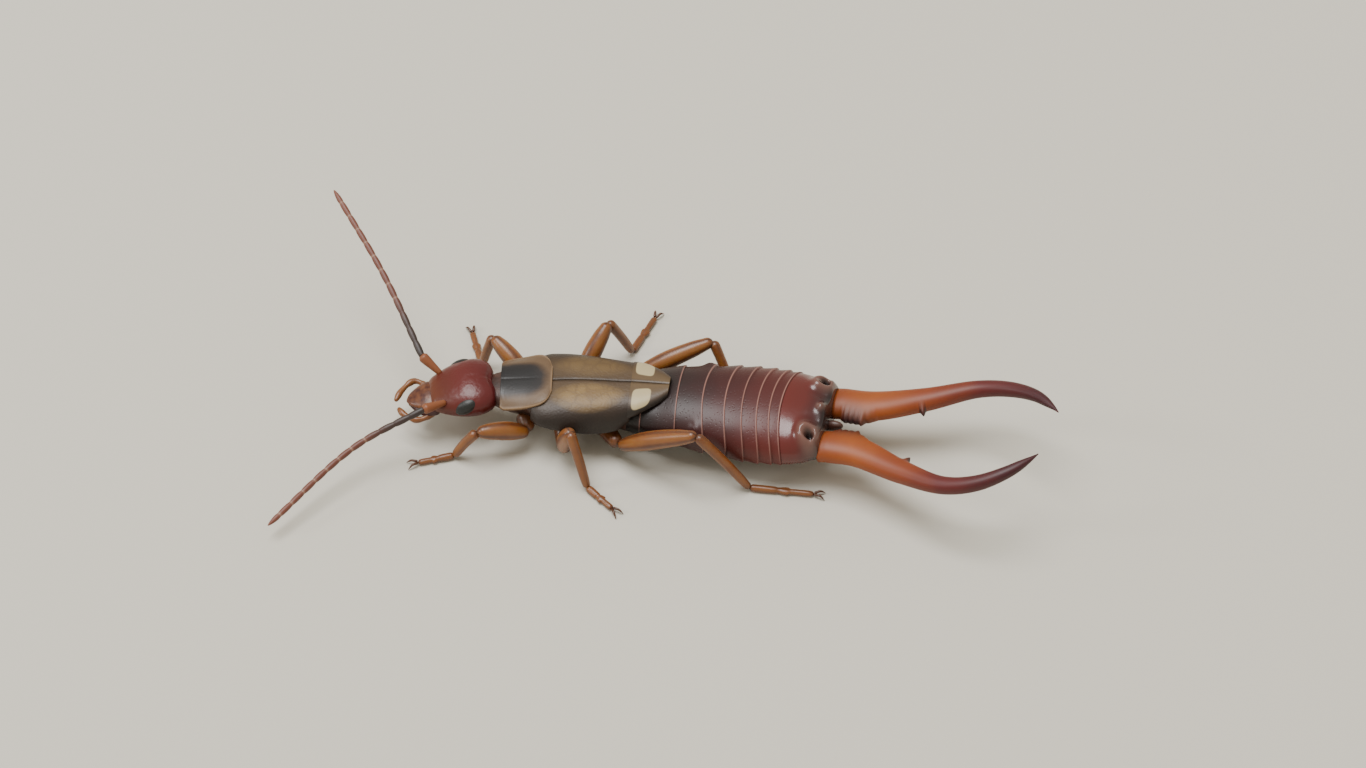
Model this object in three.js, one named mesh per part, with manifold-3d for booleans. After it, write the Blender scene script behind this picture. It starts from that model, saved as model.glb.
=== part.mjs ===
// A male earwig at life size, standing on a flat floor with its pincers raised a little behind it.
// Millimetres, +Z up. The tail points along +X and the animal's left side faces -Y.
// The trunk is lofted along one curved spine, and every other piece is placed from that spine.
import * as THREE from "three";
import Module from "manifold-3d";

const wasm = await Module();
wasm.setup();

const V = (x, y, z) => new THREE.Vector3(x, y, z);
const RAD = Math.PI / 180;

// Driving dimensions
const CUT = 0.2; // thin cut that parts one node from the next
const FOOTPRINT = { x: 5.497, y: 0.865 }; // middle of the whole animal's outline, which the origin stands under
const TRUNK_LENGTH = 10.9; // neck to the rear edge of the last tergite, along the spine
const TAIL = { yaw: -16.5, rise: 14 }; // degrees the pincers point to the left of straight back, and upward
const PRONOTUM = { from: 0.2, to: 1.78, thick: 0.5 };
const TEGMEN = { from: 1.2, to: 4.42, thick: 0.5 };
const WING_TIP = { to: 5.58, thick: 0.42 };
const CHEST_END = 3.9; // rear of the leg-bearing chest, where the abdomen's rings begin
const RING_BREAK = 6.75; // ring edge where the abdomen is parted in two
const LAST_TERGITE = { from: 9.42 };
const ARM_REACH = { left: 0.93, right: 0.965 }; // one arm curls in a little more than the other
const SLIM = 0.25; // the thinnest round section a solid keeps, except at a tip
const SOLE_HEIGHT = 0.24; // centre of a foot above the floor

// Colours: chestnut head and tail, orange limbs, buff wing covers, near-black eyes
const COLOURS = {
  head: [0x6b2a24, 0.25],
  mouth: [0x7a4426, 0.4],
  eye: [0x24282a, 0.3],
  feeler: [0x7c4a34, 0.5],
  limb: [0xa9642b, 0.35],
  pronotum: [0x4a4340, 0.35],
  chest: [0x3a2724, 0.4],
  tegmen: [0x8c7350, 0.4],
  wing_tip: [0xb9a888, 0.45],
  abdomen: [0x532823, 0.3],
  pincer: [0xa04d24, 0.25],
};

// The spine runs from the neck to the root of the pincers through the middle of the trunk.
const spine = new THREE.CatmullRomCurve3([
  V(0.15, 0.23, 1.45),
  V(1.1, 0.15, 1.42),
  V(2.6, 0.02, 1.4),
  V(4.6, -0.14, 1.3),
  V(6.7, -0.42, 1.24),
  V(9.0, -0.86, 1.3),
  V(10.85, -1.33, 1.56),
  V(11.8, -1.61, 1.8),
]);
const SPINE_LENGTH = spine.getLength();

// A direction from its turn about the upright and its rise, in degrees
function heading(yaw, rise) {
  const level = Math.cos(rise * RAD);
  return V(Math.cos(yaw * RAD) * level, Math.sin(yaw * RAD) * level, Math.sin(rise * RAD));
}

// A frame on the spine: place, backward direction, the animal's left and up.
function frameOf(place, back) {
  const left = V(back.y, -back.x, 0).normalize();
  const up = left.clone().cross(back).normalize();
  return { place, back, left, up };
}
function station(s) {
  const t = THREE.MathUtils.clamp(s / SPINE_LENGTH, 0, 1);
  const frame = frameOf(spine.getPointAt(t), spine.getTangentAt(t).normalize());
  const past = s - t * SPINE_LENGTH;
  frame.place.addScaledVector(frame.back, past);
  return frame;
}
const inFrame = (f, back, left, up) =>
  f.place.clone().addScaledVector(f.back, back).addScaledVector(f.left, left).addScaledVector(f.up, up);

// A value read from a short table of [station, value] rows, along a smooth curve through every row.
function profile(rows) {
  const last = rows.length - 1;
  const slope = (i) => {
    const [s0, v0] = rows[Math.max(0, i - 1)];
    const [s1, v1] = rows[Math.min(last, i + 1)];
    return (v1 - v0) / (s1 - s0);
  };
  return (s) => {
    let i = 1;
    while (i < last && s > rows[i][0]) i++;
    const [s0, v0] = rows[i - 1];
    const [s1, v1] = rows[i];
    const span = s1 - s0;
    const t = THREE.MathUtils.clamp((s - s0) / span, 0, 1);
    const bend = t * (1 - t) * span;
    const chord = THREE.MathUtils.lerp(v0, v1, t * t * (3 - 2 * t));
    return chord + bend * (slope(i - 1) * (1 - t) - slope(i) * t);
  };
}
const steps = (count) => Array.from({ length: count + 1 }, (_, i) => i / count);

// Solids
function toSolid(points, triangles) {
  const vertProperties = new Float32Array(points.flatMap((p) => [p.x, p.y, p.z]));
  const triVerts = new Uint32Array(triangles);
  const made = new wasm.Manifold(new wasm.Mesh({ numProp: 3, vertProperties, triVerts }));
  if (made.volume() > 0) return made;
  for (let i = 0; i < triVerts.length; i += 3)
    [triVerts[i + 1], triVerts[i + 2]] = [triVerts[i + 2], triVerts[i + 1]];
  return new wasm.Manifold(new wasm.Mesh({ numProp: 3, vertProperties, triVerts }));
}
// Closed rings of points joined in order, with a fan over each end.
function loft(rings) {
  const n = rings[0].length;
  const points = rings.flat();
  const triangles = [];
  for (let i = 0; i + 1 < rings.length; i++)
    for (let j = 0; j < n; j++) {
      const a = i * n + j;
      const b = i * n + ((j + 1) % n);
      triangles.push(a, b, b + n, a, b + n, a + n);
    }
  for (const [row, turn] of [[0, 1], [rings.length - 1, 0]]) {
    const centre = rings[row].reduce((sum, p) => sum.add(p), V(0, 0, 0)).divideScalar(n);
    points.push(centre);
    const hub = points.length - 1;
    for (let j = 0; j < n; j++) {
      const a = row * n + j;
      const b = row * n + ((j + 1) % n);
      triangles.push(...(turn ? [hub, b, a] : [hub, a, b]));
    }
  }
  return toSolid(points, triangles);
}
// A ring whose width and height follow a superellipse; top and bottom may differ.
function oval(frame, back, width, top, bottom, count, square = 2) {
  return Array.from({ length: count }, (_, j) => {
    const angle = (2 * Math.PI * (j + 0.5)) / count;
    const c = Math.cos(angle);
    const s = Math.sin(angle);
    const left = width * Math.sign(c) * Math.abs(c) ** (2 / square);
    const up = (s > 0 ? top : bottom) * Math.abs(s) ** (2 / square);
    return inFrame(frame, back, left, s > 0 ? up : -up);
  });
}
// A round-ended limb through points, its radii read at each share of its length.
function limb(points, radius, count = 10, rings = 8, height = radius) {
  const path = points.length > 2 ? new THREE.CatmullRomCurve3(points) : new THREE.LineCurve3(...points);
  const length = path.getLength();
  const made = [];
  const add = (t, shift, scale) => {
    const back = path.getTangentAt(t).normalize();
    const frame = frameOf(path.getPointAt(t).addScaledVector(back, shift), back);
    made.push(oval(frame, 0, radius(t) * scale, height(t) * scale, height(t) * scale, count));
  };
  const cap = [[0.97, 0.25], [0.72, 0.7]];
  for (const [ahead, scale] of cap) add(0, -radius(0) * ahead, scale);
  for (const t of steps(Math.max(1, rings))) add(t, 0, 1);
  for (const [ahead, scale] of cap.toReversed()) add(1, radius(1) * ahead, scale);
  return loft(made);
}
const keepAhead = (solid, normal, through) => {
  const n = normal.clone().normalize();
  return solid.trimByPlane([n.x, n.y, n.z], n.dot(through));
};
const largest = (solid) => solid.decompose().sort((a, b) => b.volume() - a.volume())[0];
const joined = (solids) => solids.reduce((sum, s) => sum.add(s));
// A ball, as a loft of rings, for bumps and eyes.
function ball(place, back, radii, count = 14, rings = 7) {
  const frame = frameOf(place, back.clone().normalize());
  return loft(
    Array.from({ length: rings }, (_, i) => {
      const a = (Math.PI * (i + 0.5)) / rings;
      const [width, height] = [radii[1] * Math.sin(a), radii[2] * Math.sin(a)];
      return oval(frame, -radii[0] * Math.cos(a), width, height, height, count);
    }),
  );
}
// A sharp cone from a base point towards a tip.
function cone(base, tip, radius, count = 8) {
  const back = tip.clone().sub(base);
  const frame = frameOf(base, back.clone().normalize());
  const ends = [[-0.5 * radius, radius], [0, radius], [back.length(), 0.12 * radius]];
  return loft(ends.map(([along, r]) => oval(frame, along, r, r, r, count)));
}

const animal = new THREE.Group();
const solids = {};
function node(name, colour, solid) {
  solids[name] = largest(solid);
  const mesh = solids[name].getMesh();
  const count = mesh.numProp;
  const position = new Float32Array(mesh.numVert * 3);
  for (let i = 0; i < mesh.numVert; i++)
    position.set(mesh.vertProperties.subarray(i * count, i * count + 3), i * 3);
  const geometry = new THREE.BufferGeometry();
  geometry.setAttribute("position", new THREE.BufferAttribute(position, 3));
  geometry.setIndex(new THREE.BufferAttribute(new Uint32Array(mesh.triVerts), 1));
  geometry.computeVertexNormals();
  const [color, roughness] = COLOURS[colour];
  const part = new THREE.Mesh(geometry, new THREE.MeshStandardMaterial({ color, roughness, metalness: 0 }));
  part.name = name;
  animal.add(part);
}
const SIDES = [["left", 1], ["right", -1]];

// Head: a heart-shaped capsule, widest behind the eyes, turned a little to the animal's left
const HEAD = { length: 2.2, yaw: 189, dip: 5 };
const NECK = V(0.08, 0.36, 1.57);
const headBack = heading(HEAD.yaw, -HEAD.dip).negate();
const headFrame = frameOf(NECK, headBack);
const onHead = (forward, left, up) => inFrame(headFrame, -forward, left, up);
const headWidth = profile([
  [0, 0.5], [0.14, 0.85], [0.5, 1.08], [0.9, 1.1], [1.35, 1.02], [1.75, 0.87], [2.2, 0.62],
]);
const headTop = profile([[0, 0.3], [0.2, 0.46], [0.85, 0.6], [1.5, 0.48], [2.2, 0.24]]);
const headBottom = profile([[0, 0.3], [0.3, 0.46], [1.0, 0.52], [2.2, 0.26]]);
function headSolid(grow = 0) {
  const stops = [-grow, 0.04, 0.1, 0.2, 0.36, 0.56, 0.8, 1.05, 1.3, 1.55, 1.8, 2.0, HEAD.length + grow];
  return loft(
    stops.map((f) => {
      const at = THREE.MathUtils.clamp(f, 0, HEAD.length);
      const ring = [headWidth(at) + grow, headTop(at) + grow, headBottom(at) + grow];
      return oval(headFrame, -f, ...ring, 24, 2.3);
    }),
  );
}
// Eyes: oval domes low on the sides, set in pockets
const EYE = { forward: 1.1, side: 0.84, up: 0.14, length: 0.38, out: 0.28, high: 0.28 };
const eyeSolid = (side, grow = 0) =>
  ball(onHead(EYE.forward, side * EYE.side, EYE.up), headBack, [
    EYE.length + grow,
    EYE.out + grow,
    EYE.high + grow,
  ]);
// Antennae: a stout first joint, then twelve beads that each swell towards the tip
const FEELER_ROOT = { forward: 1.8, side: 0.7, up: 0.3 };
const feelerRoot = (side) => onHead(FEELER_ROOT.forward, side * FEELER_ROOT.side, FEELER_ROOT.up);
const SCAPE_LENGTH = 0.75;
const FEELERS = {
  left: { scape: [215, 12], mid: V(-4.4, -2.1, 1.25), tip: V(-7.0, -4.85, 0.62) },
  right: { scape: [147, 30], mid: V(-3.75, 3.9, 3.1), tip: V(-5.5, 6.75, 4.15) },
};
const BEADS = 12;

let head = headSolid();
for (const [name, side] of SIDES) {
  head = head.subtract(eyeSolid(side, CUT * 0.6));
  const root = feelerRoot(side);
  const along = heading(...FEELERS[name].scape);
  const elbow = root.clone().addScaledVector(along, SCAPE_LENGTH);
  const scape = limb([root, elbow], profile([[0, 0.22], [0.3, 0.27], [1, SLIM]]), 10, 4);
  const socket = limb([root, elbow], () => 0.27 + CUT * 0.7, 12, 2);
  head = head.subtract(socket);
  node(`antenna_${name}_scape`, "limb", keepAhead(scape, along.clone().negate(), elbow));
  const { mid, tip } = FEELERS[name];
  const path = new THREE.CatmullRomCurve3([elbow.clone().addScaledVector(along, CUT), mid, tip]);
  const rings = [];
  for (let bead = 0; bead < BEADS; bead++)
    for (const [share, swell] of [[0.02, 0.9], [0.45, 1.06], [0.9, 1.12]]) {
      const t = (bead + share) / BEADS;
      const radius = SLIM * swell * (bead === BEADS - 1 ? 1 - 0.55 * share : 1);
      const frame = frameOf(path.getPointAt(t), path.getTangentAt(t).normalize());
      rings.push(oval(frame, 0, radius, radius, radius, 8));
    }
  node(`antenna_${name}_whip`, "feeler", keepAhead(loft(rings), path.getTangentAt(0), path.getPointAt(0)));
}
node("head", "head", head);
// Mouth: upper lip over two jaws, in one piece ahead of the head, with a feeler-like palp on each side
const LIP = [
  [HEAD.length + CUT, 0.54, 0.2], [2.55, 0.48, 0.17], [2.75, 0.34, 0.14], [2.9, 0.22, 0.1], [3.0, 0.1, 0.06],
]; // forward, half width and rise above the middle
const JAW_DEPTH = 0.45; // depth below the lip, as a share of the half width, with a little more for the tip
const lipSolid = (grow = 0) =>
  loft(
    LIP.map(([f, w, t], i) => {
      const end = i === 0 ? -2 * grow : i === LIP.length - 1 ? grow : 0;
      return oval(headFrame, -f - end, w + grow, t + grow, JAW_DEPTH * w + 0.05 + grow, 18);
    }),
  );
node("mouth", "mouth", lipSolid());
const PALP = {
  left: [[2.4, 0.76, -0.3], [2.75, 0.82, -0.34], [3.15, 0.55, -0.3], [3.32, 0.22, -0.25]],
  right: [[2.4, -0.8, -0.26], [2.7, -0.94, -0.2], [3.15, -0.64, -0.22], [3.36, -0.24, -0.25]],
};
for (const [name] of SIDES) {
  const points = PALP[name].map((p) => onHead(...p));
  const palp = limb(points, profile([[0, SLIM], [0.8, SLIM], [1, 0.15]]), 8, 8);
  node(`palp_${name}`, "limb", palp.subtract(headSolid(CUT)).subtract(lipSolid(CUT)));
}
for (const [name, side] of SIDES) node(`eye_${name}`, "eye", eyeSolid(side));

// Pronotum: the shield behind the head, nearly as long as wide, its sides turned down, its rear edge round
const shieldWidth = profile([
  [0.2, 0.98], [0.36, 1.08], [1.1, 1.11], [1.45, 1.05], [1.66, 0.84], [1.78, 0.5],
]);
const shieldRise = profile([[0.2, 0.52], [0.8, 0.63], [1.5, 0.72], [1.78, 0.72]]);
// How far the sides turn down
const shieldFall = profile([[0.2, 0.32], [0.8, 0.24], [1.4, 0.1], [1.78, 0.04]]);
function shieldSolid(grow = 0) {
  const stops = [PRONOTUM.from, 0.28, 0.42, 0.75, 1.1, 1.35, 1.52, 1.65, 1.73, PRONOTUM.to];
  const half = 8;
  const rings = stops.map((s, i) => {
    const end = i === 0 ? -grow : i === stops.length - 1 ? grow : 0;
    const frame = station(s + end);
    const w = shieldWidth(s) + grow;
    const h = shieldRise(s) + grow;
    const fall = shieldFall(s);
    const thick = PRONOTUM.thick + 2 * grow;
    const arc = steps(half).map((t) => 2 * t - 1);
    const top = (x) => h - fall * Math.abs(x) ** 3;
    const bottom = (x) => top(x) - thick * (1 - 0.45 * x ** 4);
    const outer = arc.map((x) => inFrame(frame, 0, w * x, top(x)));
    const inner = arc.toReversed().map((x) => inFrame(frame, 0, w * x * 0.96, bottom(x)));
    return [...outer, ...inner];
  });
  return loft(rings);
}
node("pronotum", "pronotum", shieldSolid());

// Tegmina and wing tips: two short wing covers that meet on the back, and the folded wings' ends behind them
const coverWidth = profile([
  [1.2, 1.3], [1.45, 1.5], [1.7, 1.57], [2.27, 1.6], [3.05, 1.55], [3.95, 1.38], [4.42, 1.2],
]);
const coverRise = profile([[1.2, 0.6], [1.8, 0.66], [2.27, 0.74], [3.05, 0.82], [3.95, 0.88], [4.42, 0.93]]);
const coverDrop = profile([[1.2, 0.1], [1.7, 0.06], [2.3, -0.02], [3.05, -0.1], [3.95, -0.02], [4.42, 0.3]]);
// A curved plate on one side of the back, from the seam down to its outer edge.
function plate(side, from, to, width, rise, drop, thick, grow = 0, seam = CUT / 2) {
  const rings = [];
  for (const t of steps(7)) {
    const s = THREE.MathUtils.lerp(from - grow, to + grow, t);
    const frame = station(s);
    const w = width(s) + grow;
    const h = rise(s) + grow;
    const low = drop(s) - grow;
    const arc = (inset, n) =>
      steps(n).map((q) => {
        const edge = Math.max(seam, w - inset);
        const x = THREE.MathUtils.lerp(seam - grow, edge, Math.sin((q * Math.PI) / 2));
        const share = Math.min(1, Math.max(0, x) / edge);
        const top = h - inset;
        const foot = Math.min(low, top);
        return inFrame(frame, 0, side * x, foot + (top - foot) * (1 - share ** 4) ** 0.6);
      });
    rings.push([...arc(0, 7), ...arc(thick + 2 * grow, 7).reverse()]);
  }
  return loft(rings);
}
const cover = (side, grow = 0) =>
  plate(side, TEGMEN.from, TEGMEN.to, coverWidth, coverRise, coverDrop, TEGMEN.thick, grow);
const tipWidth = profile([[4.42, 1.18], [4.65, 1.1], [5.03, 0.88], [5.36, 0.64], [5.58, 0.42]]);
const tipRise = profile([[4.42, 0.93], [5.58, 1.02]]);
const tipDrop = profile([[4.42, 0.46], [4.65, 0.56], [5.03, 0.68], [5.58, 0.8]]);
const wingTip = (side, grow = 0) =>
  plate(side, TEGMEN.to + CUT, WING_TIP.to, tipWidth, tipRise, tipDrop, WING_TIP.thick, grow);
// Solid blocks under the plates' outer surfaces, which cut what lies below them.
const shieldBlock = shieldSolid(CUT);
for (const [name, side] of SIDES) {
  node(`tegmen_${name}`, "tegmen", cover(side).subtract(shieldBlock));
  node(`wing_tip_${name}`, "wing_tip", wingTip(side));
}

// Trunk: one loft along the spine, parted into forechest, chest, two lengths of abdomen and the last tergite
const trunkWidth = profile([
  [-0.05, 0.42], [0.3, 0.6], [0.7, 0.78], [1.6, 0.8], [2.4, 0.98], [3.6, 1.02], [4.4, 1.12],
  [5.4, 1.42], [6.6, 1.66], [7.4, 1.8], [8.2, 1.87], [9.2, 1.84], [10.2, 1.7], [10.9, 1.51],
]);
const trunkTop = profile([
  [-0.05, 0.14], [0.6, 0.2], [1.6, 0.34], [3.0, 0.5], [4.2, 0.6], [5.2, 0.74], [5.9, 0.9],
  [7.0, 0.98], [9.0, 1.02], [10.3, 0.84], [10.9, 0.62],
]);
const trunkBottom = profile([
  [-0.05, 0.28], [0.7, 0.52], [2.0, 0.74], [3.6, 0.78], [5.2, 0.82], [7.0, 0.82], [9.0, 0.76],
  [10.2, 0.66], [10.9, 0.46],
]);
// How far a ring's flanks stand behind its middle, so that each rear edge bows forward on the back
const ringBow = profile([[4.2, 0], [5.9, 0.08], [6.75, 0.24], [9.07, 0.28], [9.7, 0.2], [10.6, 0]]);
// Rear edges of the rings along the spine
const RING_EDGES = [4.75, 5.9, RING_BREAK, 7.5, 8.1, 8.62, 9.07, LAST_TERGITE.from];
const RING_STEP = 0.07; // each ring's rear edge stands over the next ring
const RISE_LENGTH = 0.5; // length over which a ring swells to its rear edge
const TRUNK_SQUARE = 2.2;
function trunk(from, to, grow = 0) {
  const edges = RING_EDGES.filter((edge) => edge > from + 0.1 && edge < to - 0.1);
  const clear = (s) => edges.every((edge) => Math.abs(s - edge) > 0.16);
  const list = [from, to];
  for (let s = from + 0.45; s < to - 0.1; s += 0.45) if (clear(s)) list.push(s);
  for (const edge of edges) list.push(edge - 0.1, edge - 0.01, edge + 0.03);
  list.sort((a, b) => a - b);
  const rings = list.map((s, i) => {
    const end = i === 0 ? -grow : i === list.length - 1 ? grow : 0;
    const edge = RING_EDGES.find((e) => s <= e) ?? 0;
    const ringed = s > CHEST_END - 0.1 && edge > 0;
    const share = THREE.MathUtils.smoothstep(s, edge - RISE_LENGTH, edge - 0.02);
    const swell = ringed ? RING_STEP * (share - 0.5) : 0;
    const size = [trunkWidth(s), trunkTop(s), trunkBottom(s)].map((radius) => radius + grow + swell);
    const frame = station(s + end);
    const ring = oval(frame, 0, ...size, 28, TRUNK_SQUARE);
    for (const point of ring) {
      const aside = point.clone().sub(frame.place).dot(frame.left) / size[0];
      point.addScaledVector(frame.back, ringBow(s) * aside ** 2);
    }
    return ring;
  });
  return loft(rings);
}
const under = (solid, ...covers) => covers.reduce((left, c) => left.subtract(c), solid);
const covers = SIDES.flatMap(([, side]) => [cover(side, CUT), wingTip(side, CUT)]);
const FORECHEST = { from: 0.02, to: 1.86 };
const forechest = trunk(FORECHEST.from, FORECHEST.to);
node("prothorax", "chest", under(forechest, shieldBlock, headSolid(CUT), ...covers));
node("thorax", "chest", under(trunk(FORECHEST.to + CUT, CHEST_END), ...covers));
node("abdomen_front", "abdomen", under(trunk(CHEST_END + CUT, RING_BREAK), ...covers));
node("abdomen_rear", "abdomen", trunk(RING_BREAK + CUT, LAST_TERGITE.from));

// Last tergite: a broad collar over the pincers' roots, with a knob above each and a low swelling between
const tailFrame = frameOf(station(TRUNK_LENGTH).place, heading(TAIL.yaw, TAIL.rise));
const onTail = (back, left, up) => inFrame(tailFrame, back, left, up);
const KNOBS = [
  { back: -0.4, side: 1.2, up: 0.48, radii: [0.42, 0.34, 0.4] },
  { back: -0.4, side: -1.2, up: 0.48, radii: [0.42, 0.34, 0.4] },
  { back: -0.24, side: 0, up: 0.56, radii: [0.28, 0.28, 0.26] },
];
const knobs = KNOBS.map((k) => ball(onTail(k.back, k.side, k.up), tailFrame.back, k.radii, 12, 6));
node("last_tergite", "abdomen", joined([trunk(LAST_TERGITE.from + CUT, TRUNK_LENGTH), ...knobs]));
const PYGIDIUM = { back: 0.26, up: -0.12, radii: [0.24, 0.17, 0.23] };
const tailPlate = ball(onTail(PYGIDIUM.back, 0, PYGIDIUM.up), tailFrame.back, PYGIDIUM.radii, 12, 8);
node("pygidium", "abdomen", keepAhead(tailPlate, tailFrame.back, onTail(CUT, 0, 0)));

// Pincers: each arm is broad and toothed at the root, then bows out and curls in to a point
const ARM_POINTS = [
  [0, 1.02, -0.1], [1.0, 1.06, -0.2], [2.7, 1.66, -0.38], [4.35, 2.2, -0.34],
  [5.5, 2.15, -0.22], [6.5, 1.75, -0.06], [7.2, 1.2, 0.02], [7.45, 0.95, 0.04],
];
const ARM_SPREAD = 0.96; // share of the mapped distance apart
const armWidth = profile([
  [0, 0.58], [0.13, 0.56], [0.34, 0.43], [0.55, 0.32], [0.75, 0.26], [0.9, 0.18], [1, 0.05],
]);
const armHeight = profile([
  [0, 0.42], [0.15, 0.38], [0.35, 0.34], [0.55, 0.28], [0.75, 0.25], [0.9, 0.17], [1, 0.05],
]);
// A broad flat flange at the root reaches towards its fellow, with a row of small teeth on its edge
const FLANGE = { back: 0.48, side: 0.68, up: -0.18, radii: [0.45, 0.42, 0.24] };
const EDGE_TEETH = { count: 4, from: 0.2, apart: 0.16, root: 0.5, tip: 0.25, radius: 0.12 };
const SECOND_TOOTH = { root: [2.46, 1.42, -0.36], tip: [2.6, 0.9, -0.33], radius: 0.19 };
for (const [name, side] of SIDES) {
  const at = (a, n, u) => onTail(a + CUT, side * n, u);
  const reach = ARM_REACH[name];
  const path = ARM_POINTS.map(([a, n, u]) => at(a * reach, n * ARM_SPREAD, u));
  const flange = ball(at(FLANGE.back - CUT, FLANGE.side, FLANGE.up), tailFrame.back, FLANGE.radii, 14, 8);
  const pieces = [limb(path, armWidth, 10, 22, armHeight), flange];
  for (let i = 0; i < EDGE_TEETH.count; i++) {
    const a = EDGE_TEETH.from + i * EDGE_TEETH.apart;
    const [root, tip] = [at(a, EDGE_TEETH.root, FLANGE.up), at(a + 0.04, EDGE_TEETH.tip, FLANGE.up)];
    pieces.push(cone(root, tip, EDGE_TEETH.radius, 6));
  }
  pieces.push(cone(at(...SECOND_TOOTH.root), at(...SECOND_TOOTH.tip), SECOND_TOOTH.radius));
  node(`pincer_${name}`, "pincer", keepAhead(joined(pieces), tailFrame.back, at(0, 0, 0)));
}

// Legs: coxa, femur, tibia and foot, parted square across the bend at each joint
const leg = (root, hip, knee, ankle, yaw, length) => ({
  root: V(...root),
  hip: V(...hip),
  knee: V(...knee),
  ankle: V(...ankle, SOLE_HEIGHT),
  foot: heading(yaw, 0).multiplyScalar(length),
});
const LEGS = {
  front_left: leg([0.95, -0.3, 0.95], [1.15, -0.98, 0.72], [-0.49, -1.52, 1.3], [-1.28, -1.49], 194, 1.2),
  front_right: leg([0.95, 0.6, 0.95], [1.1, 1.2, 0.8], [-0.12, 2.41, 1.6], [-0.55, 2.5], 105, 1.55),
  middle_left: leg([2.2, -0.35, 0.9], [2.3, -1.5, 0.5], [2.55, -2.2, 2.08], [3.08, -2.85], 313, 1.2),
  middle_right: leg([2.5, 0.45, 0.9], [2.75, 1.5, 0.55], [3.71, 2.78, 1.9], [4.46, 3.11], 64, 1.75),
  hind_left: leg([3.4, -0.55, 0.85], [4.1, -1.6, 0.75], [6.6, -2.62, 2.38], [8.31, -2.86], 353, 2.1),
  hind_right: leg([3.5, 0.45, 0.85], [4.5, 1.4, 0.75], [7.16, 2.13, 1.7], [7.85, 1.3], 8, 2.1),
};
const THIGH = { front: 0.31, middle: 0.31, hind: 0.34 };
const footRadius = profile([
  [0, SLIM], [0.42, 0.27], [0.46, SLIM], [0.6, 0.3], [0.64, SLIM], [0.92, 0.26], [1, 0.2],
]);
const lengths = [FORECHEST.from, FORECHEST.to, CHEST_END, RING_BREAK, LAST_TERGITE.from];
const body = joined(lengths.slice(1).map((to, i) => trunk(lengths[i], to, CUT)));
// Parts of one leg either side of a joint, each stopping half a cut short of the plane through the bend.
function mitre(solid, joint, into, other, keepSide) {
  const normal = into.clone().normalize().add(other.clone().normalize()).normalize();
  const place = joint.clone().addScaledVector(normal, (keepSide * CUT) / 2);
  return keepAhead(solid, normal.clone().multiplyScalar(keepSide), place);
}
for (const [name, { root, hip, knee, ankle, foot: stride }] of Object.entries(LEGS)) {
  const thick = THIGH[name.split("_")[0]];
  const toe = ankle.clone().add(stride);
  const runs = [[root, hip], [hip, knee], [knee, ankle], [ankle, toe]];
  const ways = runs.map(([a, b]) => b.clone().sub(a));
  const coxa = limb(runs[0], profile([[0, 0.36], [1, 0.26]]), 12, 3);
  node(`leg_${name}_coxa`, "limb", under(mitre(coxa, hip, ways[0], ways[1], -1), body, ...covers));
  let femur = limb(runs[1], profile([[0, SLIM], [0.35, thick], [0.7, thick * 0.94], [1, SLIM]]), 12, 8);
  femur = mitre(mitre(femur, hip, ways[0], ways[1], 1), knee, ways[1], ways[2], -1);
  node(`leg_${name}_femur`, "limb", under(femur, body, ...covers));
  let tibia = limb(runs[2], () => SLIM, 10, 4);
  tibia = mitre(mitre(tibia, knee, ways[1], ways[2], 1), ankle, ways[2], ways[3], -1);
  node(`leg_${name}_tibia`, "limb", under(tibia, body));
  // The foot: three joints, the middle one short and broad, then a pair of claws, with a flat sole
  const foot = limb(runs[3], footRadius, 8, 10);
  const along = ways[3].clone().normalize();
  const across = V(-along.y, along.x, 0);
  const claws = [-1, 1].map((turn) =>
    cone(
      toe.clone().addScaledVector(along, 0.02).addScaledVector(across, turn * 0.09).setZ(0.22),
      toe.clone().addScaledVector(along, 0.4).addScaledVector(across, turn * 0.24).setZ(0.07),
      0.12,
    ),
  );
  const whole = mitre(joined([foot, ...claws]), ankle, ways[2], ways[3], 1);
  node(`leg_${name}_foot`, "limb", keepAhead(whole, V(0, 0, 1), V(0, 0, 0)));
}

animal.position.set(-FOOTPRINT.x, -FOOTPRINT.y, 0);
const part = new THREE.Group();
part.add(animal);

export default part;
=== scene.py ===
import bpy
import numpy as np
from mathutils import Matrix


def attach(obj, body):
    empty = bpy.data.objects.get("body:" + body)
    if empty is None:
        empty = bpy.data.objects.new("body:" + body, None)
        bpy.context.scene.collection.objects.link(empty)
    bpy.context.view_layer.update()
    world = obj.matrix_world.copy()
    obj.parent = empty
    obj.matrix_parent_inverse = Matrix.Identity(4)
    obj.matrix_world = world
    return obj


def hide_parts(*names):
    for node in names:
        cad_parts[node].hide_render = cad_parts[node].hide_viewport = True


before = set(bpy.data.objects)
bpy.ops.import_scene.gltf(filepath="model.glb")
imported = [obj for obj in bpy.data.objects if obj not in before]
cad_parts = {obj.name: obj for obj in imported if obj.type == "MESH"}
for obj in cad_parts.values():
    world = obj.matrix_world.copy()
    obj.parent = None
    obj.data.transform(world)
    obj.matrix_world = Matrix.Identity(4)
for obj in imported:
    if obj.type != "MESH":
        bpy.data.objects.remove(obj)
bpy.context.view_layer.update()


# Chest: the dark plates between head and abdomen that carry the six legs, and the short neck before them.
# Tanned cuticle, joined by soft skin and almost hidden under the shield and the wing covers.
MM = 0.001
ORIGIN = np.array([5.497, 0.865, 0.0])  # middle of the animal's outline in the spine's own measure
SPINE = [(0.15, 0.23, 1.45), (1.1, 0.15, 1.42), (2.6, 0.02, 1.4), (4.6, -0.14, 1.3), (6.7, -0.42, 1.24),
         (9.0, -0.86, 1.3), (10.85, -1.33, 1.56), (11.8, -1.61, 1.8)]
CHEST = (-0.3, 4.3)  # from the neck's front end, inside the head, to under the first ring plate
CREASE = {"depth": 0.06, "first": 0.9, "apart": 0.625}
SQUARE = 2.2  # how square the trunk's rings are, where 2 is an ellipse


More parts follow.
